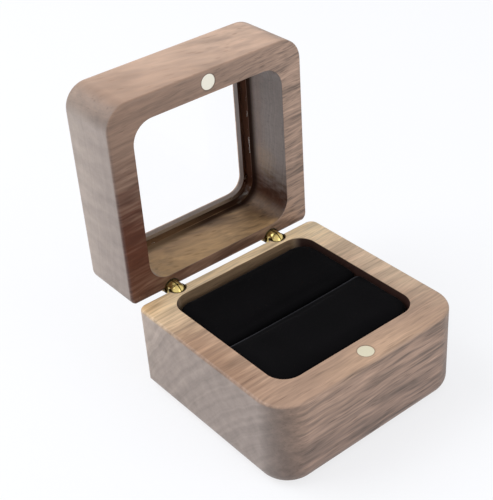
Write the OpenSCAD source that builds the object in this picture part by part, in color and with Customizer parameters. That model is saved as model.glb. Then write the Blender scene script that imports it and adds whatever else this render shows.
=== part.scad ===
// Ring display box: a walnut base with a rolled velvet insert, and a walnut lid with a
// clear pane, joined by two small brass barrel hinges and held shut by a pair of magnets.
//
// Frame: origin on the underside, at the middle of the base. +X runs along the hinge line,
// to the right as the box is opened. -Y is the front, the side with the magnets. +Z is up.
// The lid stands open. Lid pieces are drawn shut, in closed_place(), and swung by open_up().

/* [Case] */
// Width of the base and the lid, along the hinge line
case_w = 58; // [54:0.5:80]
// Depth of the base and the lid, front to rear
case_d = 54.4; // [50:0.2:80]
// Height of the base
base_h = 24.6; // [22:0.2:40]
// Height of the lid
lid_h = 19.4; // [16:0.2:30]
// Hairline left between the two rims when the box is shut
closed_gap = 0.1; // [0.05:0.05:0.3]
// How far the lid stands open
open_angle = 90; // [80:1:90]

/* [Edges] */
// Radius of the base's two front corners, seen from above
base_front_r = 8; // [6:0.1:9]
// Radius of the lid's two front corners, seen from above
lid_front_r = 6.4; // [5:0.1:9]
// Radius of the four rear corners
rear_r = 2.4; // [1:0.1:2.5]
// Roundover along the bottom edge of the base
foot_r = 4; // [2:0.1:5]
// Roundover along the outer edge of the lid
crown_r = 2.4; // [1:0.1:4]
// Small roundover along the edges of both rims
rim_r = 0.8; // [0.4:0.1:1]
// Roundover along the lid's rear rim edge, over the hinges
lid_rear_r = 1.3; // [0.8:0.1:1.5]

/* [Base pocket] */
// Thickness of the base's side walls
base_side_wall = 7.1; // [5.5:0.1:9]
// Wood left between the base's hinge holes and its pocket
base_hinge_wood = 0.9; // [0.6:0.1:3]
// Thickness of the base's front wall, which holds a magnet
base_front_wall = 7.6; // [6.5:0.1:10]
// Thickness of the base's floor
base_floor = 3.5; // [2.5:0.1:6]
// Radius of the pocket's corners
base_pocket_r = 5.3; // [4:0.1:7]

/* [Lid window] */
// Thickness of the lid's side walls
lid_side_wall = 6.5; // [5:0.1:9]
// Wood left between the lid's hinge holes and its pocket
lid_hinge_wood = 1.3; // [0.6:0.1:3]
// Thickness of the lid's front wall, which holds a magnet
lid_front_wall = 6; // [5.5:0.1:9]
// Radius of the lid pocket's corners
lid_pocket_r = 5.8; // [4:0.1:7]
// Thickness of the lip that the pane rests against
lip_t = 2; // [1.2:0.1:4]
// How far the lip reaches in over the edge of the pane
lip_w = 0.95; // [0.6:0.05:3]
// Thickness of the clear pane
pane_t = 2.6; // [1.5:0.1:4]
// Play round the edge of the pane
pane_fit = 0.1; // [0.05:0.05:0.4]
// Width and height of the adhesive bead round the pane's inner edge
bead = 0.45; // [0.3:0.05:1]

/* [Magnets] */
// Diameter of the two disc magnets
magnet_d = 4; // [3:0.1:5]
// Thickness of the disc magnets
magnet_t = 2; // [1:0.1:3]
// Wood between the base's front face and its magnet
base_magnet_wood = 1.6; // [0.9:0.1:2]
// Wood between the lid's front face and its magnet
lid_magnet_wood = 0.9; // [0.9:0.1:1.5]
// How far the magnets sit below the face of the wood
magnet_sink = 0.05; // [0:0.01:0.2]

/* [Hinges] */
// Distance between the middles of the two hinges
hinge_span = 33; // [26:0.5:40]
// How far the pair of hinges sits off the middle of the box
hinge_shift = -0.3; // [-1:0.1:1]
// Diameter of the hinge barrels
barrel_d = 4.5; // [3.7:0.1:5.5]
// Length of each barrel
barrel_l = 9; // [8:0.1:12]
// Glue gap round a barrel in its hole
barrel_fit = 0.05; // [0.02:0.01:0.1]
// Depth of a barrel's end below its rim
barrel_sink = 0.1; // [0.1:0.05:0.3]
// Gap left between a hinge's two barrels when the lid is folded flat behind the base
fold_gap = 0.1; // [0.05:0.05:0.3]
// Distance of the hinge pins behind the rear face
pin_back = 0.35; // [0.25:0.05:0.5]
// Depth of a hinge pin below its rim
pin_depth = 1.6; // [1.5:0.05:2]
// Diameter of the hinge pins
pin_d = 1.2; // [0.8:0.1:1.4]
// Running clearance between a link's bore and its pin, on the radius
pin_fit = 0.04; // [0.02:0.01:0.08]
// Thickness of the barrel's cheeks on either side of its slot
cheek_t = 0.5; // [0.4:0.05:0.8]
// Step from the barrels' surface down to the links' surface
link_step = 0.15; // [0.1:0.05:0.4]
// Side play between the links and the barrel's cheeks
link_play = 0.05; // [0.03:0.01:0.1]

/* [Insert] */
// Thickness of the stiff board under the cushions
board_t = 1; // [0.6:0.1:2]
// Gap between the insert and the pocket's walls
insert_fit = 0.3; // [0.2:0.05:0.6]
// Depth of the cushions' crowns below the rim
crown_drop = 0.9; // [0.5:0.1:3]
// Height that a crown stands above the cushion's rolled edges
crown_rise = 0.8; // [0.3:0.1:1.5]
// Radius of the rolled edges along the ring slot
slot_roll_r = 4; // [2:0.1:5]
// Radius of the rolled edges along the pocket's walls
wall_roll_r = 2.4; // [1.2:0.1:4]
// Width of the ring slot between the two cushions at rest
slot_gap = 0.3; // [0.2:0.05:1]
// Thickness of the velvet with its backing
velvet_t = 0.7; // [0.4:0.1:1.2]
// Gap between the velvet and the foam inside it
foam_fit = 0.05; // [0.02:0.01:0.2]

/* [Hidden] */
$fn = 96;

LEFT = -1;
RIGHT = 1;
rear_y = case_d / 2;
front_y = -case_d / 2;
over = 1;                                   // overshoot of a cutter past the face it opens

// Hinge pins: the lid and the links swing on the base pins, and the lid folds back on its own
pin_y = rear_y + pin_back;
base_pin_z = base_h - pin_depth;
pin_pitch = 2 * pin_depth + closed_gap;
pin_grip = 0.01;                            // clearance of a pin in the cheeks, on the radius

// A barrel stands out behind the rear face as far as it can without meeting the other one
barrel_r = barrel_d / 2;
barrel_out = (pin_pitch + 2 * pin_back - fold_gap) / 2;
barrel_inset = barrel_r - barrel_out;       // from the rear face in to the barrel's axis
barrel_hole_r = barrel_r + barrel_fit;
cheek_r = pin_depth - barrel_sink;          // rounded rear corner of a barrel's cheeks
pin_off = barrel_inset + pin_back;          // from the barrel's axis to its pin
pin_end_sink = 0.15;                        // from a pin's end to the barrel's surface
pin_l = 2 * (sqrt(pow(barrel_r, 2) - pow(pin_off, 2)) - pin_end_sink);

// A pair of link plates fills the slot between the cheeks
slot_half = barrel_r - cheek_t;
link_t = slot_half - 1.5 * link_play;
link_r = barrel_r - link_step;
nose_r = pin_off + link_r;                  // the links' rounded ends, measured from their pin
nose_clear = 0.2;                           // room past the links' ends in a slot
slot_depth = pin_depth + nose_r + nose_clear;

// Lid pocket, measured up from the lid's rim when the box is shut
lid_rear_wall = barrel_inset + barrel_hole_r + lid_hinge_wood;
lip_z = lid_h - lip_t;
pane_z = lip_z - pane_t;

// Middles of the magnets
base_magnet_y = front_y + base_magnet_wood + magnet_d / 2;
lid_magnet_y = front_y + lid_magnet_wood + magnet_d / 2;

// Pocket of the base, and the insert that fills it
base_rear_wall = barrel_inset + barrel_hole_r + base_hinge_wood;
pocket_w = case_w - 2 * base_side_wall;
pocket_y0 = front_y + base_front_wall;
pocket_y1 = rear_y - base_rear_wall;
slot_y = (pocket_y0 + pocket_y1) / 2;
board_top = base_floor + board_t;
cushion_top = base_h - crown_drop;

walnut = [0.58, 0.44, 0.35];
brass = [0.78, 0.66, 0.36];

// A rectangle from y0 to y1, w wide, with all four corners rounded
module soft_rect(w, y0, y1, r) {
    translate([-w / 2 + r, y0]) square([w - 2 * r, y1 - y0]);
    translate([-w / 2, y0 + r]) square([w, y1 - y0 - 2 * r]);
    for (x = [-1, 1], y = [y0 + r, y1 - r]) translate([x * (w / 2 - r), y]) circle(r);
}

// Section from the middle of a block out to one face, with a roundover at the bottom and the top
module edge_section(run, h, low_r, high_r) {
    difference() {
        square([run, h]);
        translate([run - low_r, 0]) difference() {
            square([low_r + over, low_r]);
            translate([0, low_r]) circle(low_r);
        }
        translate([run - high_r, h - high_r]) difference() {
            square([high_r + over, high_r + over]);
            circle(high_r);
        }
    }
}

// A block of wood with rounded corners, and roundovers at the bottom and round the rim. The
// front strip is two turned corners with a straight run between them. The rest is two sections
// crossed with each other and with an outline that has two smaller turned corners at the rear.
// Both meet on the plane where the front corners end.
module wood_block(h, corner_r, low_r, rear_rim_r) {
    split_y = front_y + corner_r;
    for (side = [LEFT, RIGHT])
        translate([side * (case_w / 2 - corner_r), split_y, 0])
            rotate([0, 0, side == RIGHT ? -90 : 180])
                rotate_extrude(angle = 90) edge_section(corner_r, h, low_r, rim_r);
    translate([case_w / 2 - corner_r, split_y, 0]) rotate([90, 0, -90])
        linear_extrude(case_w - 2 * corner_r) edge_section(corner_r, h, low_r, rim_r);
    intersection() {
        translate([0, rear_y, 0]) rotate([90, 0, 0]) linear_extrude(rear_y - split_y)
            for (side = [0, 1]) mirror([side, 0]) edge_section(case_w / 2, h, low_r, rim_r);
        translate([-case_w / 2, split_y, 0]) rotate([90, 0, 90])
            linear_extrude(case_w) edge_section(rear_y - split_y, h, low_r, rear_rim_r);
        union() {
            linear_extrude(h) {
                translate([-case_w / 2, split_y]) square([case_w, rear_y - rear_r - split_y]);
                translate([-case_w / 2 + rear_r, split_y])
                    square([case_w - 2 * rear_r, rear_y - split_y]);
            }
            for (side = [LEFT, RIGHT])
                translate([side * (case_w / 2 - rear_r), rear_y - rear_r, 0])
                    rotate([0, 0, side == RIGHT ? 0 : 90])
                        rotate_extrude(angle = 90)
                            edge_section(rear_r, h, min(low_r, rear_r), rim_r);
        }
    }
}

// Turns what is drawn shut about the hinge pins of the base, to stand open
module open_up() {
    translate([0, pin_y, base_pin_z]) rotate([-open_angle, 0, 0])
        translate([0, -pin_y, -base_pin_z]) children();
}

// Lid pieces are drawn from their own rim at z = 0, and sit here when the box is shut
module closed_place() {
    open_up() translate([0, 0, base_h + closed_gap]) children();
}

// Middle of the left or the right hinge, on the rear top edge of the base
module at_hinge(side) {
    translate([hinge_shift + side * hinge_span / 2, rear_y, base_h]) children();
}

// What a barrel needs bored into a rim: the rim is at z = 0 and the wood below it
module barrel_hole() {
    translate([0, -barrel_inset, -barrel_sink - barrel_l])
        cylinder(r = barrel_hole_r, h = barrel_sink + barrel_l + over);
}

// Seat of a magnet, sunk into a rim at z = 0
module magnet_seat(y) {
    translate([0, y, -magnet_sink - magnet_t]) cylinder(d = magnet_d, h = magnet_t + magnet_sink + over);
}

module walnut_base() {
    color(walnut) difference() {
        wood_block(base_h, base_front_r, foot_r, rim_r);
        translate([0, 0, base_floor]) linear_extrude(base_h)
            soft_rect(pocket_w, pocket_y0, pocket_y1, base_pocket_r);
        for (side = [LEFT, RIGHT]) at_hinge(side) barrel_hole();
        translate([0, 0, base_h]) magnet_seat(base_magnet_y);
    }
}

// Opening of the lid, w_in narrower on every side than its pocket
module lid_outline(w_in) {
    soft_rect(case_w - 2 * (lid_side_wall + w_in), front_y + lid_front_wall + w_in,
        rear_y - lid_rear_wall - w_in, lid_pocket_r - w_in);
}

module walnut_lid() {
    color(walnut) closed_place() difference() {
        translate([0, 0, lid_h]) mirror([0, 0, 1])
            wood_block(lid_h, lid_front_r, crown_r, lid_rear_r);
        translate([0, 0, -over]) linear_extrude(lip_z + over) lid_outline(0);
        translate([0, 0, -over]) linear_extrude(lid_h + 2 * over) lid_outline(lip_w);
        mirror([0, 0, 1]) {
            for (side = [LEFT, RIGHT])
                translate([hinge_shift + side * hinge_span / 2, rear_y, 0]) barrel_hole();
            magnet_seat(lid_magnet_y);
        }
    }
}

module window_pane() {
    color([0.85, 0.92, 0.95, 0.35]) closed_place() translate([0, 0, pane_z])
        linear_extrude(pane_t) lid_outline(pane_fit);
}

// Clear bead in the corner between the pane and the walls of the pocket
module pane_adhesive() {
    color([0.9, 0.88, 0.8, 0.6]) closed_place() translate([0, 0, pane_z - bead]) difference() {
        linear_extrude(bead) lid_outline(0);
        translate([0, 0, -over]) linear_extrude(bead + 2 * over) lid_outline(bead);
    }
}

module base_magnet() {
    color([0.83, 0.82, 0.76]) translate([0, base_magnet_y, base_h - magnet_sink - magnet_t])
        cylinder(d = magnet_d, h = magnet_t);
}

module lid_magnet() {
    color([0.83, 0.82, 0.76]) closed_place() translate([0, lid_magnet_y, magnet_sink])
        cylinder(d = magnet_d, h = magnet_t);
}

module insert_board() {
    color([0.3, 0.29, 0.28]) translate([0, 0, base_floor]) linear_extrude(board_t)
        soft_rect(pocket_w - 2 * insert_fit, pocket_y0 + insert_fit, pocket_y1 - insert_fit,
            base_pocket_r - insert_fit);
}

// One rolled cushion, skin smaller on every side but its flat bottom. Its section is a crown
// between two rolled edges, and its ends follow the corners of the pocket.
module cushion(side, skin) {
    wall_y = side == RIGHT ? pocket_y1 - insert_fit : pocket_y0 + insert_fit;
    edge_y = slot_y + side * slot_gap / 2;
    mid_y = (wall_y + edge_y) / 2;
    half = abs(wall_y - edge_y) / 2;
    bow_r = (pow(half, 2) + pow(crown_rise, 2)) / (2 * crown_rise);
    top = cushion_top - skin;
    intersection() {
        translate([-case_w / 2, mid_y, board_top]) rotate([90, 0, 90]) linear_extrude(case_w)
            mirror([side == RIGHT ? 0 : 1, 0]) intersection() {
                cushion_section(half - skin, top - board_top, slot_roll_r - skin, wall_roll_r - skin);
                translate([0, top - board_top - bow_r + skin]) circle(bow_r - skin);
            }
        translate([0, 0, board_top]) linear_extrude(top - board_top)
            soft_rect(pocket_w - 2 * (insert_fit + skin), pocket_y0 + insert_fit + skin,
                pocket_y1 - insert_fit - skin, base_pocket_r - insert_fit - skin);
    }
}

// Rectangle with rolled top corners: the slot's side is at -half, the wall's at +half
module cushion_section(half, h, slot_r, wall_r) {
    translate([-half, 0]) square([2 * half, h - max(slot_r, wall_r)]);
    translate([-half + slot_r, 0]) square([2 * half - slot_r - wall_r, h]);
    translate([-half + slot_r, h - slot_r]) circle(slot_r);
    translate([half - wall_r, h - wall_r]) circle(wall_r);
    translate([half - wall_r, 0]) square([wall_r, h - wall_r]);
}

module foam(side) {
    color([0.85, 0.83, 0.75]) cushion(side, velvet_t + foam_fit);
}

// Velvet wrapped over the foam, open underneath where its edges are glued to the board
module velvet(side) {
    color([0.06, 0.06, 0.07]) difference() {
        cushion(side, 0);
        cushion(side, velvet_t);
    }
}

module front_foam() foam(LEFT);
module rear_foam() foam(RIGHT);
module front_velvet() velvet(LEFT);
module rear_velvet() velvet(RIGHT);

// One barrel, its rim at z = 0: a slotted cylinder with two cheeks that carry the pin
module barrel() {
    difference() {
        translate([0, -barrel_inset, -barrel_sink - barrel_l]) cylinder(r = barrel_r, h = barrel_l);
        translate([-slot_half, -barrel_inset - barrel_d, -slot_depth])
            cube([2 * slot_half, 2 * barrel_d, slot_depth + over]);
        translate([-barrel_d, pin_back, -pin_depth]) difference() {
            cube([2 * barrel_d, barrel_d, pin_depth + over]);
            rotate([0, 90, 0]) cylinder(r = cheek_r, h = 2 * barrel_d);
        }
        translate([-barrel_d, pin_back, -pin_depth]) rotate([0, 90, 0])
            cylinder(r = pin_d / 2 + pin_grip, h = 2 * barrel_d);
    }
}

module pin() {
    translate([-pin_l / 2, pin_back, -pin_depth]) rotate([0, 90, 0]) cylinder(d = pin_d, h = pin_l);
}

// Half of a link's section across its pin, as a distance from the pin's axis
module nose_section() {
    intersection() {
        translate([pin_off, 0]) circle(link_r);
        translate([0, link_play / 2]) square([nose_r + over, link_t]);
    }
}

// Rounded end of a link, below its pin, which is at the origin
module link_nose() {
    rotate([0, 90, 0]) {
        mirror([0, 1, 0]) rotate_extrude(angle = 90) nose_section();
        intersection() {
            rotate_extrude(angle = 90) nose_section();
            rotate([0, -90, 0]) translate([0, -pin_off, -nose_r - over])
                cylinder(r = link_r, h = nose_r + 2 * over);
        }
    }
}

// One link plate, as it stands when the box is shut, with the base's rim at z = 0
module link() {
    difference() {
        translate([0, pin_back, -pin_depth]) {
            link_nose();
            translate([0, 0, pin_pitch]) mirror([0, 0, 1]) link_nose();
            intersection() {
                translate([0, -pin_off, 0]) cylinder(r = link_r, h = pin_pitch);
                translate([link_play / 2, -nose_r - over, 0]) cube([link_t, 2 * nose_r, pin_pitch]);
            }
        }
        for (z = [0, pin_pitch])
            translate([-over, pin_back, z - pin_depth]) rotate([0, 90, 0])
                cylinder(r = pin_d / 2 + pin_fit, h = link_t + 2 * over);
    }
}

module base_barrel(side) {
    color(brass) at_hinge(side) barrel();
}

module lid_barrel(side) {
    color(brass) open_up() at_hinge(side) translate([0, 0, closed_gap]) mirror([0, 0, 1]) barrel();
}

// The outer link lies on the far side from the middle of the box, the inner link on the near side
module link_plate(side, outward) {
    color(brass) open_up() at_hinge(side) mirror([side * outward == RIGHT ? 0 : 1, 0, 0]) link();
}

module base_pin(side) {
    color(brass) at_hinge(side) pin();
}

module lid_pin(side) {
    color(brass) open_up() at_hinge(side) translate([0, 0, closed_gap]) mirror([0, 0, 1]) pin();
}

walnut_base();
walnut_lid();
window_pane();
pane_adhesive();
base_magnet();
lid_magnet();
insert_board();
front_foam();
rear_foam();
front_velvet();
rear_velvet();
base_barrel(LEFT);  // left_base_barrel
lid_barrel(LEFT);  // left_lid_barrel
link_plate(LEFT, 1);  // left_outer_link
link_plate(LEFT, -1);  // left_inner_link
base_pin(LEFT);  // left_base_pin
lid_pin(LEFT);  // left_lid_pin
base_barrel(RIGHT);  // right_base_barrel
lid_barrel(RIGHT);  // right_lid_barrel
link_plate(RIGHT, 1);  // right_outer_link
link_plate(RIGHT, -1);  // right_inner_link
base_pin(RIGHT);  // right_base_pin
lid_pin(RIGHT);  // right_lid_pin
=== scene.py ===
import bpy
import numpy as np
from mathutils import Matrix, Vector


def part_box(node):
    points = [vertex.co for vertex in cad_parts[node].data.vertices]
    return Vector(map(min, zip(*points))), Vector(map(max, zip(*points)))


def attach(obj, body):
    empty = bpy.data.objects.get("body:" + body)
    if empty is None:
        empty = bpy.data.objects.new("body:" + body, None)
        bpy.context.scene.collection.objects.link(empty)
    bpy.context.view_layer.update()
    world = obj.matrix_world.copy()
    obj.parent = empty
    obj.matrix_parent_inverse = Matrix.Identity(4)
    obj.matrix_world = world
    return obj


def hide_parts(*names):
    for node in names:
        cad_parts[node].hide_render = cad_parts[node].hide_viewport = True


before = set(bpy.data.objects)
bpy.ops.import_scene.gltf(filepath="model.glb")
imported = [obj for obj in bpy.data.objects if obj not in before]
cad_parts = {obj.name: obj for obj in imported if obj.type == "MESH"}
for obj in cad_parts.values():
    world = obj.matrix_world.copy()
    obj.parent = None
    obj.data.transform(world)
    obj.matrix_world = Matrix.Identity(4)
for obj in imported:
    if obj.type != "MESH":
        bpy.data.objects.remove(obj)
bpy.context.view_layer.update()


# ---------------------------------------------------------------------------------------------
# Walnut base. One block of American walnut, sawn with a strip of pale sapwood along its rear
# edge, routed out for the insert, sanded, and wiped with a thin satin oil. The growth rings are
# arcs about the heart of the tree, which lay in front of and below the block.
# ---------------------------------------------------------------------------------------------
MM = 0.001
# the two blocks, mm: half their width along the grain, half their depth across it
HALF_WIDTH, HALF_DEPTH = 29, 27.2
# the hinge holes in a rim: the middle of the pair and half their spacing along X, and their Y
HOLES_MIDDLE, HOLES_APART, HOLES_Y = -0.3, 16.5, -26.9
HOLE_R, MAGNET_R = 2.35, 2.0


def linear(hex_colour, alpha=1.0):
    """sRGB hex to linear RGBA: v / 12.92 below 0.04045, ((v + 0.055) / 1.055) ** 2.4 above."""
    v = np.array([int(hex_colour[i:i + 2], 16) for i in (0, 2, 4)]) / 255
    v = np.where(v <= 0.04045, v / 12.92, ((v + 0.055) / 1.055) ** 2.4)
    return (*v.tolist(), alpha)


def put(tree, kind, inputs=None, **settings):
    """Adds a node: settings are its properties. An input is linked if it is given a socket."""
    made = tree.nodes.new(kind)
    for key, value in settings.items():
        setattr(made, key, value)
    for key, value in (inputs or {}).items():
        if isinstance(value, bpy.types.NodeSocket):
            tree.links.new(value, made.inputs[key])
        else:
            made.inputs[key].default_value = value
    return made


def new_material(name):
    """An empty node material with its output. Returns the material, its tree and the output."""
    material = bpy.data.materials.new(name)
    material.use_nodes = True
    material.node_tree.nodes.clear()
    return material, material.node_tree, put(material.node_tree, "ShaderNodeOutputMaterial")


def finish_node(material, *names):
    """Gives CAD nodes their real material."""
    for name in names:
        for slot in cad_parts[name].material_slots:
            slot.material = material


def walnut(name, turned, heart, rise, tones, end_tones, dark_rings, patches, wall_patches, rim, corner_r,
           pocket, magnet, wall_tones, rim_light, fine, coarse, rays=1.0, ring_depth=1.0, lip=None):
    """Oiled walnut, as a solid pattern in mm that every face cuts through.
    turned: a Mapping that lays the block on its outer face: X along the grain, Y to the edge with
    the magnet, Z up to the rim. heart: the tree's middle, (Y, Z). rise: how far Y and Z of the grain
    climb for each mm of X. tones: (distance from the heart, colour) on long grain, and end_tones on
    end grain; the rings between them are noise. dark_rings: (the darkest rings' distances from the
    heart, how dark they are, how much the other rings show on long grain). patches: (middle, radii,
    colour, share) of darker or paler colour, some the wood's own and some painted shade and painted
    light, and wall_patches the same inside the pocket, there as painted shade and light. rim: the
    rim's Z. corner_r: radius of the two corners beside the magnet. pocket: half its X, its low and
    high Y, and the Z that it starts from. magnet: the Y of its middle. wall_tones: (colour at the
    floor, colour at the rim, share) of the pocket's end walls and of its long walls, as painted shade
    that deepens towards the floor. rim_light: how bright the rim's flat is beside the rest. fine: how
    strong the fine grain is on the rim's flat and on the magnet's edge face, and the streaks on that
    face. coarse: strength of the grain, and how much it grows with X and with distance from the
    middle. rays: how far the grain stretches outwards from the heart. ring_depth: contrast of the
    rings on end grain. lip: if the block is cut through, the Z of the lip's ledge, and the Z up to
    which the wall above is darkened, wetted by adhesive and painted with shade."""
    material, tree, out = new_material(name)

    def maths(operation, a, b=0.0, clamp=False):
        return put(tree, "ShaderNodeMath", {0: a, 1: b}, operation=operation, use_clamp=clamp).outputs[0]

    def join(operation, *values):
        made = values[0]
        for value in values[1:]:
            made = maths(operation, made, value)
        return made

    def times(*values):
        return join("MULTIPLY", *values)

    def span(value, low, high, to_low=0.0, to_high=1.0):
        """A smooth step: to_low below low, to_high above high."""
        return put(tree, "ShaderNodeMapRange", {"Value": value, "From Min": low, "From Max": high,
                   "To Min": to_low, "To Max": to_high}, interpolation_type="SMOOTHSTEP").outputs[0]

    def vector(operation, a, b=None, give=0):
        by = {} if b is None else {"Scale" if operation == "SCALE" else 1: b}
        return put(tree, "ShaderNodeVectorMath", {0: a, **by}, operation=operation).outputs[give]

    def noise(where, detail, roughness=0.5):
        return put(tree, "ShaderNodeTexNoise", {"Vector": where, "Scale": 1.0, "Detail": detail,
                   "Roughness": roughness}).outputs

    def blend(share, a, b):
        made = put(tree, "ShaderNodeMix", {"Factor": share, "A": a, "B": b}, data_type="RGBA")
        return made.outputs["Result"]

    def ramp(at, table):
        """The colour at a distance, from a short table of (distance, colour)."""
        low, high = table[0][0], table[-1][0]
        share = maths("DIVIDE", maths("SUBTRACT", at, low), high - low)
        made = put(tree, "ShaderNodeValToRGB", {"Fac": share})
        stops = made.color_ramp.elements
        while len(stops) < len(table):
            stops.new(0.5)
        for stop, (place, colour) in zip(stops, table):
            stop.position, stop.color = (place - low) / (high - low), linear(colour)
        return made.outputs["Color"]

    block = put(tree, "ShaderNodeMapping", {"Vector": put(tree, "ShaderNodeTexCoord").outputs["Object"],
                **turned}).outputs[0]
    x, v, w = put(tree, "ShaderNodeSeparateXYZ", {0: block}).outputs

    # the grain's own coordinates: X up the tree, Y and Z from its heart
    grain = vector("SUBTRACT", vector("SUBTRACT", block, (0, *heart)), vector("SCALE", (0, *rise), x))

    def fibre(along, across):
        """Grain coordinates in units of along mm up the tree and across mm the other ways."""
        return vector("MULTIPLY", grain, (1 / along, 1 / across, 1 / across / rays))

    # distance from the heart, wavering as growth rings do
    slow = vector("SUBTRACT", noise(fibre(50, 22), 1.0)["Color"], (0.5, 0.5, 0.5))
    quick = vector("SUBTRACT", noise(fibre(13, 5), 1.0)["Color"], (0.5, 0.5, 0.5))
    wavy = vector("ADD", grain, vector("ADD", vector("MULTIPLY", slow, (0, 4, 4)),
                                       vector("MULTIPLY", quick, (0, 1.6, 1.6))))
    radius = vector("LENGTH", vector("MULTIPLY", wavy, (0, 1, 1)), give="Value")

    def ring_noise(width, detail):
        return put(tree, "ShaderNodeTexNoise", {"W": maths("DIVIDE", radius, width), "Scale": 1.0,
                   "Detail": detail, "Roughness": 0.55}, noise_dimensions="1D").outputs["Fac"]

    def wander(along, across, by):
        return vector("ADD", fibre(along, across), vector("MULTIPLY", quick, (0, by, by)))

    # clouds, streaks, lines and fibres: 34, 15, 11 and 3 mm long. The fibres are drawn coarser than
    # the real ones, which are too fine to show
    clouds = noise(fibre(34, 3.6), 1.0)["Fac"]
    streaks = noise(wander(15, 1.15, 1.6), 1.0, 0.6)["Fac"]
    lines = noise(wander(11, 0.55, 2.4), 1.0, 0.5)["Fac"]
    fibres = noise(wander(3.0, 0.2, 5.0), 0.0)["Fac"]
    rings = ring_noise(2.6, 2.0)
    # pores: dashes about 0.4 mm wide and 4 mm long, closer together in some rings
    pores = put(tree, "ShaderNodeTexVoronoi", {"Vector": wander(6.0, 0.5, 3.0), "Scale": 1.0,
                "Randomness": 1.0})
    lot = put(tree, "ShaderNodeSeparateColor", {"Color": pores.outputs["Color"]}).outputs[0]
    pore = times(span(pores.outputs["Distance"], 0.08, 0.36, 1.0, 0.0),
                 maths("GREATER_THAN", lot, span(rings, 0.38, 0.62, 0.8, 0.2)))

    # where a face cuts the fibres: across them at the ends and on the slant at the rounded corners;
    # and the ends' top edges, which get painted shade
    far_x = maths("ABSOLUTE", x)
    side = times(span(w, 0.3, 1.8), span(w, rim - 0.8, rim - 0.1, 1.0, 0.0))
    over_x = maths("DIVIDE", maths("SUBTRACT", far_x, HALF_WIDTH - corner_r), corner_r, clamp=True)
    over_v = maths("DIVIDE", maths("SUBTRACT", v, HALF_DEPTH - corner_r), corner_r, clamp=True)
    slant = times(over_x, over_v, side)
    edge = times(span(far_x, HALF_WIDTH - 0.7, HALF_WIDTH - 0.3), span(w, rim - 0.7, rim - 0.3))
    pocket_x, pocket_low, pocket_high, pocket_w = pocket
    inside = times(span(far_x, pocket_x + 0.2, pocket_x + 0.5, 1.0, 0.0),
                   span(v, pocket_low - 0.5, pocket_low - 0.2),
                   span(v, pocket_high + 0.2, pocket_high + 0.5, 1.0, 0.0),
                   span(w, pocket_w, pocket_w + 0.4), span(w, rim - 0.25, rim - 0.05, 1.0, 0.0))
    end_wall = times(inside, span(far_x, pocket_x - 4.0, pocket_x - 1.2))
    long_wall = maths("SUBTRACT", inside, end_wall)
    end = times(over_x, over_x, over_x, side)
    across = join("MAXIMUM", end, slant, end_wall)
    along = maths("SUBTRACT", 1.0, maths("MULTIPLY", across, 0.8, clamp=True))
    flat = span(w, rim - 0.6, rim - 0.2)
    front = span(v, HALF_DEPTH - 1.0, HALF_DEPTH - 0.2)
    rough_cut = times(along, join("ADD", coarse[0], times(x, coarse[1]), times(far_x, coarse[2])))
    fine_cut = times(rough_cut, span(flat, 0, 1, 1.0, fine[0]), span(front, 0, 1, 1.0, fine[1]))

    wood = ramp(maths("ADD", radius, times(maths("SUBTRACT", streaks, 0.5), 4.0, along)), tones)

    def patched(wood, patches, where):
        for middle, radii, colour, share in patches:
            off = vector("MULTIPLY", vector("SUBTRACT", block, middle), tuple(1 / r for r in radii))
            ragged = times(maths("SUBTRACT", streaks, 0.5), 0.8)
            reach = maths("ADD", vector("LENGTH", off, give="Value"), ragged)
            wood = blend(times(span(reach, 0.1, 1.0, share, 0.0), where), wood, linear(colour))
        return wood

    wood = patched(wood, patches, maths("SUBTRACT", 1.0, inside))
    wood = vector("SCALE", wood, span(w, rim - 0.9, rim - 0.2, 1.0, rim_light))
    wood = blend(maths("MAXIMUM", end, end_wall), wood, ramp(radius, end_tones))
    # the pocket's walls, painted with shade that deepens towards the pocket's floor
    for where, (low, high, share), wave in zip((end_wall, long_wall), wall_tones, (rings, streaks)):
        wavy_w = maths("ADD", w, times(maths("SUBTRACT", wave, 0.5), 6.0))
        up_wall = span(wavy_w, pocket_w + 3, pocket_w + 13)
        wood = blend(times(where, share), wood, blend(up_wall, linear(low), linear(high)))
    wood = patched(wood, wall_patches, inside)

    def sway(value, amount, where):
        return times(maths("SUBTRACT", value, 0.5), amount, where)

    dark_radii, darkness, other_rings = dark_rings
    mottle = noise(vector("SCALE", block, 1 / 1.8), 2.0, 0.6)["Fac"]
    calm = maths("SUBTRACT", 1.0, times(inside, 0.55))
    light = join("ADD", 1.0, sway(clouds, 0.5, times(along, calm)),
                 sway(streaks, 0.8, times(rough_cut, calm, span(front, 0, 1, 1.0, fine[2]))),
                 sway(lines, 0.8, fine_cut), sway(fibres, 0.35, fine_cut), sway(mottle, 0.25, across),
                 sway(ring_noise(1.5, 1.0), 0.5 * ring_depth, end),
                 sway(ring_noise(0.5, 0.0), 0.1 * ring_depth, end),
                 sway(clouds, 0.35, end), sway(ring_noise(0.6, 1.0), 0.3, end_wall),
                 sway(rings, other_rings, times(along, calm)))
    for dark_ring in dark_radii:
        off_ring = maths("ABSOLUTE", maths("SUBTRACT", radius, dark_ring))
        shade = times(span(off_ring, 0.2, 1.6, darkness, 0.0), maths("SUBTRACT", 1.0, inside))
        light = times(light, maths("SUBTRACT", 1.0, shade))
    # darker towards the middle of the rounded corners, painted shade along the ends' top edges to dull their
    # highlight, and darker pores
    light = times(light, maths("SUBTRACT", 1.0, times(slant, 0.75)),
                  maths("SUBTRACT", 1.0, times(edge, 0.15)),
                  maths("SUBTRACT", 1.0, times(pore, fine_cut, 0.3)))

    def ring_round(off_x, off_v, radius, width, dark):
        """A dark line round a hole in the rim: glue and oil gather there, and painted shade fills the gap
        round the part set in it.
        """
        far = maths("SQRT", maths("ADD", times(off_x, off_x), times(off_v, off_v)))
        line = times(span(far, radius, radius + width, dark, 0.0), span(w, rim - 1, rim - 0.5))
        return maths("SUBTRACT", 1.0, line)

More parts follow.
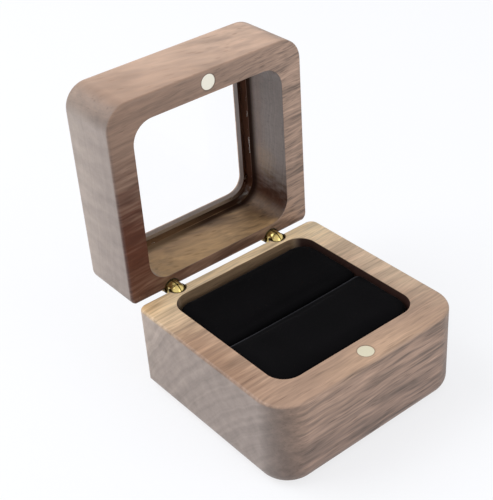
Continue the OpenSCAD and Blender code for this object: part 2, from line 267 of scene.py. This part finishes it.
    hole_x = maths("SUBTRACT", maths("ABSOLUTE", maths("SUBTRACT", x, HOLES_MIDDLE)), HOLES_APART)
    light = times(light, ring_round(hole_x, maths("SUBTRACT", v, HOLES_Y), HOLE_R, 0.25, 0.85),
                  ring_round(x, maths("SUBTRACT", v, magnet), MAGNET_R, 0.4, 0.45))
    wood = vector("SCALE", wood, light)
    gloss = 0.5
    if lip:
        ledge_w, wet_and_shade_w = lip
        # the lip's cut edge, then its ledge, the wall beside the pane and the wall above it, which adhesive
        # has wetted. The ledge and the walls also carry painted shade from the recess behind the pane,
        # each darker towards high X
        through = times(span(far_x, pocket_x - 0.3, pocket_x + 0.3, 1.0, 0.0),
                        span(v, pocket_low + 0.2, pocket_low + 0.7),
                        span(v, pocket_high - 0.7, pocket_high - 0.2, 1.0, 0.0), span(w, 0.1, 0.3),
                        span(w, ledge_w - 0.1, ledge_w, 1.0, 0.0))
        opening = maths("MAXIMUM", inside, through)
        wood = blend(times(through, 0.9), wood, linear("5A504B"))
        ledge = blend(span(x, 13, 22), linear("877564"), linear("3A2217"))
        beside = blend(span(x, -12, 12), linear("4C3624"), linear("24160E"))
        beside = blend(span(x, 20.5, 22), beside, linear("3A2217"))
        ledge = blend(span(w, ledge_w + 0.1, ledge_w + 0.3), ledge, beside)
        wall = blend(span(x, -12, 8), linear("5C4A38"), linear("1C110D"))
        fading = span(w, wet_and_shade_w - 0.5, wet_and_shade_w + 2.2, 1.0, 0.0)
        beside_pane = span(w, ledge_w + 2.2, ledge_w + 3.1, 1.0, 0.0)
        for low, high, tone in ((ledge_w - 0.02, beside_pane, ledge), (ledge_w + 2.7, fading, wall)):
            wood = blend(times(span(w, low - 0.05, low), high, opening, 0.92), wood, tone)
        # the wetted wood and the pocket's lower wall mirror less
        wet = times(opening, span(w, ledge_w - 0.07, ledge_w), fading)
        low_wall = times(inside, span(v, -22.5, -19, 0.5, 0.9), span(v, -16, -6, 1.0, 0.0))
        gloss = times(0.5, maths("SUBTRACT", 1.0, wet), maths("SUBTRACT", 1.0, low_wall))

    dull = maths("ADD", span(lines, 0.2, 0.8, 0.42, 0.54), times(pore, 0.2))
    height = join("ADD", times(lines, 0.6), times(fibres, 0.4), times(pore, -1.0))
    bump = put(tree, "ShaderNodeBump", {"Height": times(height, fine_cut), "Strength": 0.4,
               "Distance": 0.03 * MM})
    shader = put(tree, "ShaderNodeBsdfPrincipled", {"Base Color": wood, "Roughness": dull,
                 "Normal": bump.outputs[0], "IOR": 1.48, "Specular IOR Level": gloss})
    tree.links.new(shader.outputs[0], out.inputs["Surface"])
    return material


# the palest tone is the sapwood along the rear rim, painted paler still as painted light where the lid
# shades that rim
BASE_TONES = [(101, "866F62"), (120, "A0836F"), (141, "B2937A"), (157, "F2D6AC")]
BASE_END_TONES = [(105, "90827A"), (140, "96877D"), (156, "B09F92")]
base_walnut = walnut(
    "satin oiled walnut, base", {"Scale": (1 / MM, -1 / MM, 1 / MM)}, (94, -74), (0.0, 0.0),
    BASE_TONES, BASE_END_TONES, ((117, 132, 145), 0.12, 0.4),
    # the second patch, pale, on the rear right corner of the rim, is painted light where the lid shades it
    [((29, 0, 24.6), (13, 34, 9), "D6BDA0", 0.58), ((29, -27, 24.6), (16, 12, 9), "EBD5B0", 0.8),
     ((-28, 2, 24.6), (9, 26, 5), "7C5438", 0.4), ((-28, -27, 24.6), (10, 8, 5), "A87F50", 0.6),
     ((4, 26, 25.5), (28, 9, 3), "C8A588", 0.8)], [],
    24.6, 8, (21.9, -23.7, 19.6, 3.8), 23.6, (("240E0A", "2C100A", 0.95), ("3E3022", "664E38", 0.88)), 1.0,
    (0.75, 1.15, 2.1), (1.0, 0.004, 0.0), ring_depth=0.7)
finish_node(base_walnut, "walnut_base")


# ---------------------------------------------------------------------------------------------
# Walnut lid. A flat-sawn block of heartwood, routed from the rim side and cut through to leave
# a lip round the window. Its rings lie almost parallel to the lid, so its faces show long soft
# streaks. A dark streak of heartwood runs into its lower left corner, deepened with painted shade,
# and painted shade darkens the foot of its rim's flat.
# ---------------------------------------------------------------------------------------------
LID_TONES = [(148, "C2A48F"), (173, "B89984"), (192, "92735F")]
LID_END_TONES = [(156, "92857D"), (171, "A6978C"), (188, "90827A")]
lid_walnut = walnut(
    "satin oiled walnut, lid", {"Scale": (1 / MM, 1 / MM, 1 / MM), "Rotation": (-np.pi / 2, 0, 0),
                                "Location": (0, -50.55, 48.65)},
    (10, -160), (0.08, 0.23), LID_TONES, LID_END_TONES, ((), 0.0, 0.1),
    # the first patch is heartwood deepened with painted shade, the second is painted shade along the foot of
    # the rim's flat
    [((-30, -12, 20), (46, 32, 10), "5E2C14", 0.95), ((4, -28, 20), (44, 7, 8), "4E2A18", 0.95),
     ((-20, 27, 8), (16, 5, 9), "8E7260", 0.5)],
    # patches of painted shade on the pocket's walls, deepest low on the right end wall, with paler patches
    # easing it
    [((28, -23, 5), (34, 8, 26), "3E2818", 0.8), ((22.5, -21, 14), (7, 12, 24), "40200C", 0.9),
     ((22.5, -23, 12), (6, 3.5, 20), "7A6048", 0.7), ((22.5, -9, 10.5), (6, 7, 6), "9C8062", 0.4)],
    19.4, 6.4, (22.5, -23.3, 21.2, 0.4), 24.3, (("664634", "7A706C", 0.8), ("6E5338", "B08E64", 0.9)), 0.72,
    (0.87, 0.35, 0.9), (0.85, 0.022, 0.018), rays=3.0, ring_depth=0.35, lip=(2.0, 6.2))
finish_node(lid_walnut, "walnut_lid")


# ---------------------------------------------------------------------------------------------
# Window pane. A clear sheet, 2.6 mm thick with sanded edges, dropped in from the rim side
# against the lip and held by a fine bead of clear adhesive.
# ---------------------------------------------------------------------------------------------
def clear_sheet():
    """Polished clear sheet, thin enough that what is behind it shows unmoved: a clear surface with
    a weak mirror over it, a little hazed from handling."""
    middle_z, half = 49.5 * MM, 22.0 * MM  # the sheet's middle height, and half its side
    material, tree, out = new_material("polished clear window sheet")
    place = put(tree, "ShaderNodeTexCoord").outputs["Object"]
    haze = put(tree, "ShaderNodeTexNoise", {"Vector": place, "Scale": 140.0, "Detail": 3.0}).outputs["Fac"]
    rough = put(tree, "ShaderNodeMapRange", {"Value": haze, "From Min": 0.55, "From Max": 0.8,
                "To Min": 0.0, "To Max": 0.02}).outputs[0]
    # its sanded edges don't mirror
    from_middle = put(tree, "ShaderNodeVectorMath", {0: place, 1: (0, 0, middle_z)}, operation="SUBTRACT")
    from_middle = put(tree, "ShaderNodeVectorMath", {0: from_middle.outputs[0]}, operation="ABSOLUTE")
    across, _, up = put(tree, "ShaderNodeSeparateXYZ", {0: from_middle.outputs[0]}).outputs
    edge = put(tree, "ShaderNodeMath", {0: across, 1: up}, operation="MAXIMUM").outputs[0]
    face = put(tree, "ShaderNodeMapRange", {"Value": edge, "From Min": half - 0.4 * MM, "From Max": half,
               "To Min": 1.0, "To Max": 0.0}).outputs[0]
    mirror = put(tree, "ShaderNodeFresnel", {"IOR": 1.14}).outputs[0]
    share = put(tree, "ShaderNodeMath", {0: mirror, 1: face}, operation="MULTIPLY").outputs[0]
    clear = put(tree, "ShaderNodeBsdfTransparent", {"Color": (1, 1, 1, 1)}).outputs[0]
    gloss = put(tree, "ShaderNodeBsdfAnisotropic", {"Color": (1, 1, 1, 1), "Roughness": rough}).outputs[0]
    mixed = put(tree, "ShaderNodeMixShader", {0: share, 1: clear, 2: gloss}).outputs[0]
    tree.links.new(mixed, out.inputs["Surface"])
    return material


finish_node(clear_sheet(), "window_pane")


def clear_adhesive():
    """Cured clear adhesive: a glossy skin that hardly shows, with a glint here and there."""
    material, tree, out = new_material("cured clear adhesive")
    place = put(tree, "ShaderNodeTexCoord").outputs["Object"]
    lumps = put(tree, "ShaderNodeTexNoise", {"Vector": place, "Scale": 420.0, "Detail": 2.0}).outputs["Fac"]
    bump = put(tree, "ShaderNodeBump", {"Height": lumps, "Strength": 0.8, "Distance": 0.3 * MM}).outputs[0]
    share = put(tree, "ShaderNodeMapRange", {"Value": lumps, "From Min": 0.62, "From Max": 0.8,
                "To Min": 0.0, "To Max": 0.25}).outputs[0]
    clear = put(tree, "ShaderNodeBsdfTransparent", {"Color": (1, 1, 1, 1)}).outputs[0]
    gloss = put(tree, "ShaderNodeBsdfAnisotropic", {"Color": linear("E8E4DC"), "Roughness": 0.15,
                "Normal": bump}).outputs[0]
    mixed = put(tree, "ShaderNodeMixShader", {0: share, 1: clear, 2: gloss}).outputs[0]
    tree.links.new(mixed, out.inputs["Surface"])
    return material


finish_node(clear_adhesive(), "pane_adhesive")


# ---------------------------------------------------------------------------------------------
# Catch magnets. Two nickel-plated discs, pressed into seats in the front rims with their faces
# just below the wood.
# ---------------------------------------------------------------------------------------------
def nickel_plate(name, tone):
    """Barrel-plated nickel: a warm pale metal with fine random scuffs."""
    material, tree, out = new_material(name)
    place = put(tree, "ShaderNodeTexCoord").outputs["Object"]
    scuff = put(tree, "ShaderNodeTexNoise", {"Vector": place, "Scale": 2600.0, "Detail": 4.0}).outputs["Fac"]
    rough = put(tree, "ShaderNodeMapRange", {"Value": scuff, "To Min": 0.28, "To Max": 0.5}).outputs[0]
    bump = put(tree, "ShaderNodeBump", {"Height": scuff, "Strength": 0.2, "Distance": 0.01 * MM})
    shader = put(tree, "ShaderNodeBsdfPrincipled", {"Base Color": linear(tone), "Metallic": 1.0,
                 "Roughness": rough, "Normal": bump.outputs[0]})
    tree.links.new(shader.outputs[0], out.inputs["Surface"])
    return material


# the same nickel as lit and shaded copies: the base magnet is painted darker and yellower, the lid magnet
# paler
finish_node(nickel_plate("barrel-plated nickel, base magnet", "DDD7C0"), "base_magnet")
finish_node(nickel_plate("barrel-plated nickel, lid magnet", "EFEBDC"), "lid_magnet")


# ---------------------------------------------------------------------------------------------
# Barrel hinges. Turned and slotted brass barrels, glued into round holes in the rear rims, with
# a pair of link plates on a pin in each barrel. Polished when made, and since dulled a little.
# ---------------------------------------------------------------------------------------------
def turned_brass(name, tone, dark, low, high, seams=()):
    """Turned brass: a yellow metal with patches where it has dulled. seams: the X, in mm, of the
    dark joints between two link plates."""
    material, tree, out = new_material(name)
    place = put(tree, "ShaderNodeTexCoord").outputs["Object"]
    wear = put(tree, "ShaderNodeTexNoise", {"Vector": place, "Scale": 900.0, "Detail": 4.0}).outputs["Fac"]
    rough = put(tree, "ShaderNodeMapRange", {"Value": wear, "From Min": 0.3, "From Max": 0.7,
                "To Min": low, "To Max": high}).outputs[0]
    colour = put(tree, "ShaderNodeMix", {"Factor": wear, "A": linear(tone), "B": linear(dark)},
                 data_type="RGBA").outputs["Result"]
    across = put(tree, "ShaderNodeSeparateXYZ", {0: place}).outputs[0]
    for seam in seams:
        off = put(tree, "ShaderNodeMath", {0: across, 1: seam * MM}, operation="SUBTRACT").outputs[0]
        off = put(tree, "ShaderNodeMath", {0: off}, operation="ABSOLUTE").outputs[0]
        joint = put(tree, "ShaderNodeMapRange", {"Value": off, "From Min": 0.1 * MM, "From Max": 0.2 * MM,
                    "To Min": 1.0, "To Max": 0.0}).outputs[0]
        colour = put(tree, "ShaderNodeMix", {"Factor": joint, "A": colour, "B": linear("3A2E12")},
                     data_type="RGBA").outputs["Result"]
    bump = put(tree, "ShaderNodeBump", {"Height": wear, "Strength": 0.12, "Distance": 0.02 * MM})
    shader = put(tree, "ShaderNodeBsdfPrincipled", {"Base Color": colour, "Metallic": 1.0,
                 "Roughness": rough, "Normal": bump.outputs[0]})
    tree.links.new(shader.outputs[0], out.inputs["Surface"])
    return material


link_brass = turned_brass("polished brass link plate", "E4D08E", "C4AC62", 0.22, 0.34, (-16.8, 16.2))
# the barrels are dark with oxide, and with painted shade where they sit down in their holes
barrel_brass = turned_brass("oxidised brass barrel with painted shade", "5C4A20", "3A2C12", 0.4, 0.55)
pin_brass = turned_brass("drawn brass pin", "C9AB62", "A98A48", 0.3, 0.45)
for side in ("left", "right"):
    finish_node(link_brass, f"{side}_outer_link", f"{side}_inner_link")
    finish_node(barrel_brass, f"{side}_base_barrel", f"{side}_lid_barrel")
    finish_node(pin_brass, f"{side}_base_pin", f"{side}_lid_pin")


# ---------------------------------------------------------------------------------------------
# Insert board. Recycled grey board, 1 mm thick, cut to the pocket's outline. It is glued to the
# pocket's floor and carries the two cushions, which hide it.
# ---------------------------------------------------------------------------------------------
def grey_board():
    """Recycled grey board: dull, with short flecks of fibre."""
    material, tree, out = new_material("recycled grey board")
    place = put(tree, "ShaderNodeTexCoord").outputs["Object"]
    fleck = put(tree, "ShaderNodeTexNoise", {"Vector": place, "Scale": 1500.0, "Detail": 3.0}).outputs["Fac"]
    colour = put(tree, "ShaderNodeMix", {"Factor": fleck, "A": linear("55514C"), "B": linear("7A756D")},
                 data_type="RGBA").outputs["Result"]
    shader = put(tree, "ShaderNodeBsdfPrincipled", {"Base Color": colour, "Roughness": 0.9})
    tree.links.new(shader.outputs[0], out.inputs["Surface"])
    return material


finish_node(grey_board(), "insert_board")


# ---------------------------------------------------------------------------------------------
# Cushions. Two foam blocks wrapped in black velvet, which meet in the middle of the pocket and
# hold the ring between their rolled edges. The velvet is stretched along the box and glued
# underneath, so its section is the same all along, and its ends are folded down square.
# ---------------------------------------------------------------------------------------------
def cushion_skin(name, node, slot_sign):
    """The velvet as it is wrapped, before the foam swells it: a closed skin of sections across the
    cushion, at stations along X. A section runs up the slot side, round its roll, over the crown,
    round the wall's roll, down and back underneath. Each roll is a quarter circle, and the crown
    an arc that falls by crown_fall at its ends. Near each end of X the section shrinks by
    end_r - sqrt(end_r^2 - t^2), and on the wall side it pulls in round the pocket's corner. All
    lengths are in mm."""
    low, high = (np.array(corner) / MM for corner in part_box(node))
    slot_r, wall_r, crown_fall, end_r, corner_r, slack = 1.2, 2.2, 0.35, 0.25, 5.0, 0.25
    half, middle = (high[1] - low[1]) / 2 - slack * 0.6, (high[1] + low[1]) / 2
    tall, reach = high[2] - low[2] - slack, high[0] - slack * 0.4

    turn = np.linspace(0, np.pi / 2, 15)
    crown = np.linspace(-half + slot_r, half - wall_r, 42)[1:-1]
    v = np.concatenate([
        np.full(12, -half), -half + slot_r * (1 - np.cos(turn)), crown,
        half - wall_r * (1 - np.sin(turn)), np.full(12, half), np.linspace(half, -half, 24)[1:-1]])
    w = np.concatenate([
        np.linspace(0, tall - slot_r, 13)[:-1], tall - slot_r * (1 - np.sin(turn)), np.full(40, tall),
        tall - wall_r * (1 - np.cos(turn)), np.linspace(tall - wall_r, 0, 13)[1:], np.zeros(22)])
    w = w - crown_fall * (v / half) ** 2 * np.clip(w / tall, 0, 1) ** 3

    bend = reach - corner_r + corner_r * np.sin(np.linspace(0, np.pi / 2, 26)[1:])
    x = np.concatenate([-bend[::-1], np.linspace(-reach + corner_r, reach - corner_r, 60), bend])
    t = np.clip(np.abs(x) - (reach - end_r), 0, end_r)
    shrink = (end_r - np.sqrt(end_r ** 2 - t ** 2))[:, None]
    t = np.clip(np.abs(x) - (reach - corner_r), 0, corner_r)
    pull = (corner_r - np.sqrt(corner_r ** 2 - t ** 2))[:, None]

    grid_v = v * (1 - shrink / half) - pull * ((v + half) / (2 * half)) ** 2
    grid_w = w * (1 - shrink / tall)
    rows, around = grid_v.shape
    co = np.stack([np.broadcast_to(x[:, None], grid_v.shape), middle + slot_sign * grid_v,
                   low[2] + grid_w], -1)
    i, j = np.meshgrid(np.arange(rows - 1), np.arange(around), indexing="ij")
    k = (j + 1) % around
    quads = np.stack([i * around + j, i * around + k, (i + 1) * around + k, (i + 1) * around + j], -1)
    quads = quads.reshape(-1, 4)
    first, last = np.arange(around), (rows - 1) * around + np.arange(around)
    caps = [first[::-1].tolist(), last.tolist()]
    if slot_sign > 0:
        quads, caps = quads[:, ::-1], [cap[::-1] for cap in caps]
    mesh = bpy.data.meshes.new(name)
    mesh.from_pydata((co.reshape(-1, 3) * MM).tolist(), [], quads.tolist() + caps)
    mesh.polygons.foreach_set("use_smooth", np.ones(len(mesh.polygons), bool))
    piece = bpy.data.objects.new(name, mesh)
    bpy.context.scene.collection.objects.link(piece)
    return piece


def points(mesh):
    """A mesh's vertices as an n x 3 array."""
    co = np.empty(len(mesh.vertices) * 3)
    mesh.vertices.foreach_get("co", co)
    return co.reshape(-1, 3)


def swell(piece, node):
    """The foam pushes the velvet out: cloth under pressure, run 25 times life size, because cloth
    this small hardly moves. Underneath and where it is glued, it stays put. A point moves by
    d * cap / (cap + |d|), so never as far as the cap, and never out of its CAD solid's box. The
    lengths are in mm at life size."""
    grown, voxel, cap, glued_to, pressure, frames = 25, 0.55, 0.6, 2.0, 4.0, 20
    mesh = piece.data
    mesh.vertices.foreach_set("co", (points(mesh) * grown).ravel())
    remesh = piece.modifiers.new("even weave", "REMESH")
    remesh.mode, remesh.voxel_size, remesh.use_smooth_shade = "VOXEL", voxel * MM * grown, True
    piece.data = bpy.data.meshes.new_from_object(piece.evaluated_get(bpy.context.evaluated_depsgraph_get()))
    piece.data.name = piece.name
    piece.modifiers.clear()
    bpy.data.meshes.remove(mesh)
    start = points(piece.data)

    low, high = (np.array(corner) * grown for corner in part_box(node))
    glued = piece.vertex_groups.new(name="glued")
    glued.add(np.flatnonzero(start[:, 2] < low[2] + glued_to * MM * grown).tolist(), 1.0, "REPLACE")
    cloth = piece.modifiers.new("velvet", "CLOTH")
    cloth.settings.vertex_group_mass = "glued"
    cloth.settings.use_pressure, cloth.settings.uniform_pressure_force = True, pressure
    cloth.settings.effector_weights.gravity = 0
    cloth.point_cache.frame_start, cloth.point_cache.frame_end = 1, frames
    for frame_number in range(1, frames + 1):
        bpy.context.scene.frame_set(frame_number)
    swollen = bpy.data.meshes.new_from_object(piece.evaluated_get(bpy.context.evaluated_depsgraph_get()))
    move = points(swollen) - start
    piece.modifiers.clear()
    piece.vertex_groups.clear()
    bpy.data.meshes.remove(swollen)
    bpy.context.scene.frame_set(1)
    size = np.linalg.norm(move, axis=1, keepdims=True)
    co = start + move * (cap * MM * grown) / (cap * MM * grown + size)
    co = np.clip(co, low, high) / grown
    piece.data.vertices.foreach_set("co", co.ravel())
    piece.data.update()
    finer = piece.modifiers.new("finer", "SUBSURF")
    finer.levels = finer.render_levels = 1


def black_velvet():
    """Cotton velvet: a dense black pile that shows only as a grey bloom where it is seen edge on, painted in
    as a grey line along the slot's rolled edge.
    """
    material, tree, out = new_material("black cotton velvet pile")
    place = put(tree, "ShaderNodeTexCoord").outputs["Object"]
    nap = put(tree, "ShaderNodeTexNoise", {"Vector": place, "Scale": 90.0, "Detail": 3.0}).outputs["Fac"]
    pile = put(tree, "ShaderNodeTexNoise", {"Vector": place, "Scale": 3200.0, "Detail": 2.0}).outputs["Fac"]
    colour = put(tree, "ShaderNodeMix", {"Factor": nap, "A": linear("040405"), "B": linear("0D0C0E")},
                 data_type="RGBA").outputs["Result"]
    # painted sheen: a grey line painted where the velvet turns over the rear edge of the slot
    back = put(tree, "ShaderNodeSeparateXYZ", {0: place}).outputs[1]
    painted_sheen_line = put(tree, "ShaderNodeMapRange", {"Value": back, "From Min": 0.3 * MM,
                "From Max": 1.1 * MM}).outputs[0]
    past = put(tree, "ShaderNodeMapRange", {"Value": back, "From Min": 1.7 * MM, "From Max": 2.0 * MM,
               "To Min": 1.0, "To Max": 0.0}).outputs[0]
    painted_sheen_line = put(tree, "ShaderNodeMath", {0: painted_sheen_line, 1: past}, operation="MULTIPLY").outputs[0]
    colour = put(tree, "ShaderNodeMix", {"Factor": painted_sheen_line, "A": colour, "B": linear("38383C")},
                 data_type="RGBA").outputs["Result"]
    bump = put(tree, "ShaderNodeBump", {"Height": pile, "Strength": 0.6, "Distance": 0.08 * MM})
    shader = put(tree, "ShaderNodeBsdfPrincipled", {"Base Color": colour, "Roughness": 0.95,
                 "Specular IOR Level": 0.06, "Sheen Weight": 0.12, "Sheen Roughness": 0.2,
                 "Sheen Tint": linear("C8C8D2"), "Normal": bump.outputs[0]})
    tree.links.new(shader.outputs[0], out.inputs["Surface"])
    return material


velvet = black_velvet()
for name, node, foam, slot_sign in (("front_cushion", "front_velvet", "front_foam", -1),
                                    ("rear_cushion", "rear_velvet", "rear_foam", 1)):
    cushion = cushion_skin(name, node, slot_sign)
    swell(cushion, node)
    cushion.data.materials.clear()
    cushion.data.materials.append(velvet)
    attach(cushion, "base")
    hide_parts(node, foam)


# ---------------------------------------------------------------------------------------------
# Floor, light and camera. A plain white sweep under an even pale room, with a large soft box high
# behind the left of the box and a weaker one low at the front.
# ---------------------------------------------------------------------------------------------
def seen_directly(tree):
    """1 for a camera, mirror or glass ray, and 0 for one that only lights."""
    ray = put(tree, "ShaderNodeLightPath").outputs
    seen = put(tree, "ShaderNodeMath", {0: ray["Is Camera Ray"], 1: ray["Is Transmission Ray"]},
               operation="MAXIMUM").outputs[0]
    return put(tree, "ShaderNodeMath", {0: seen, 1: ray["Is Glossy Ray"]}, operation="MAXIMUM").outputs[0]


def white_sweep(tree, out):
    """Matt white paper, lit from behind: mostly its own white, with a faint shadow under the box."""
    share = put(tree, "ShaderNodeMath", {0: seen_directly(tree), 1: 0.75}, operation="MULTIPLY").outputs[0]
    paper = put(tree, "ShaderNodeBsdfDiffuse", {"Color": linear("F4F7FD")}).outputs[0]
    glow = put(tree, "ShaderNodeEmission", {"Color": linear("FEFEFF"), "Strength": 1.0}).outputs[0]
    mixed = put(tree, "ShaderNodeMixShader", {0: share, 1: paper, 2: glow}).outputs[0]
    tree.links.new(mixed, out.inputs["Surface"])


floor_mesh = bpy.data.meshes.new("floor")
floor_mesh.from_pydata([(-4, -4, 0), (4, -4, 0), (4, 4, 0), (-4, 4, 0)], [], [(0, 1, 2, 3)])
floor = bpy.data.objects.new("floor", floor_mesh)
bpy.context.scene.collection.objects.link(floor)
paper, paper_tree, paper_out = new_material("matt white paper sweep")
white_sweep(paper_tree, paper_out)
floor.data.materials.append(paper)

world = bpy.data.worlds.new("pale room")
bpy.context.scene.world = world
world.use_nodes = True
world.node_tree.nodes.clear()
room = put(world.node_tree, "ShaderNodeBackground", {"Color": linear("F4F6FA"), "Strength": 0.62})
white = put(world.node_tree, "ShaderNodeBackground", {"Color": (1, 1, 1, 1), "Strength": 1.0})
mixed = put(world.node_tree, "ShaderNodeMixShader", {0: seen_directly(world.node_tree),
            1: room.outputs[0], 2: white.outputs[0]})
put(world.node_tree, "ShaderNodeOutputWorld", {0: mixed.outputs[0]})


def facing(at, aim, roll=0.0):
    """A 4 x 4 frame at one point: Z away from the aim, X level, then both turned by roll degrees
    about Z."""
    back = np.array(at, float) - np.array(aim, float)
    back /= np.linalg.norm(back)
    right = np.cross((0, 0, 1), back)
    right /= np.linalg.norm(right)
    up = np.cross(back, right)
    c, s = np.cos(np.radians(roll)), np.sin(np.radians(roll))
    made = np.eye(4)
    made[:3, :3] = np.stack([right * c - up * s, right * s + up * c, back], 1)
    made[:3, 3] = at
    return made.T


def soft_box(name, at, aim, size, power):
    """A square lamp at a point, facing another."""
    lamp = bpy.data.lights.new(name, "AREA")
    lamp.size, lamp.energy = size, power
    piece = bpy.data.objects.new(name, lamp)
    bpy.context.scene.collection.objects.link(piece)
    piece.matrix_world = facing(at, aim)


lamps_aim = (0, 0.01, 0.03)
soft_box("key soft box", (-0.45, 0.45, 0.75), lamps_aim, 0.7, 6.0)
soft_box("front soft box", (0.25, -0.75, 0.45), lamps_aim, 0.6, 2.0)

camera = bpy.data.objects.new("camera", bpy.data.cameras.new("camera"))
bpy.context.scene.collection.objects.link(camera)
camera.data.lens = 80.2
camera.data.sensor_width = 36
camera.data.clip_start = 0.01
heading, rise, distance = np.radians(-36.79), np.radians(34.01), 0.25116
aim = np.array((-0.01429, 0.0, 0.04796))
away = np.array((np.sin(heading) * np.cos(rise), -np.cos(heading) * np.cos(rise), np.sin(rise)))
camera.matrix_world = facing(aim + away * distance, aim, roll=4.27)
bpy.context.scene.camera = camera
bpy.context.scene.view_settings.view_transform = "Standard"
